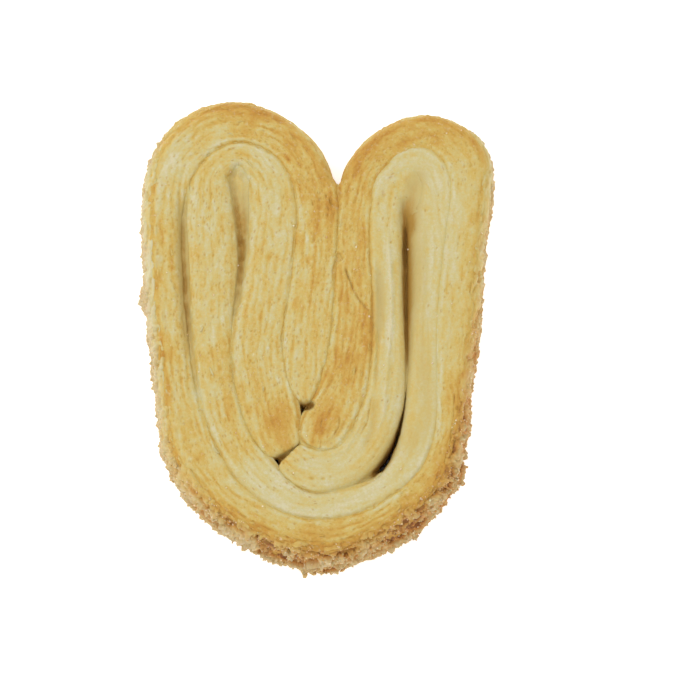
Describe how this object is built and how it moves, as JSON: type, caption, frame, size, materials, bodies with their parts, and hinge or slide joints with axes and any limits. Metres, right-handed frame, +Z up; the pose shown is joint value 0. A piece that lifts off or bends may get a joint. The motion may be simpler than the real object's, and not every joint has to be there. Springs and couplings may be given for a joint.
{
  "type": "palmier pastry",
  "caption": "Flat puff pastry: layered dough rolled in from both ends into lobes, baked lying on its cut face, with fine plies and a rough sugared rim.",
  "frame": {"origin": "under the middle of the pastry, on the surface it rests on", "axes": "+Z up through the pastry's thickness, +Y along its length towards the lobes"},
  "size_m": [0.0668, 0.089, 0.0126],
  "materials": {
    "pastry": "matt baked crumb, golden, browner at the rim"
  },
  "bodies": {
    "root": {"palmier": "pastry"}
  },
  "joints": []
}
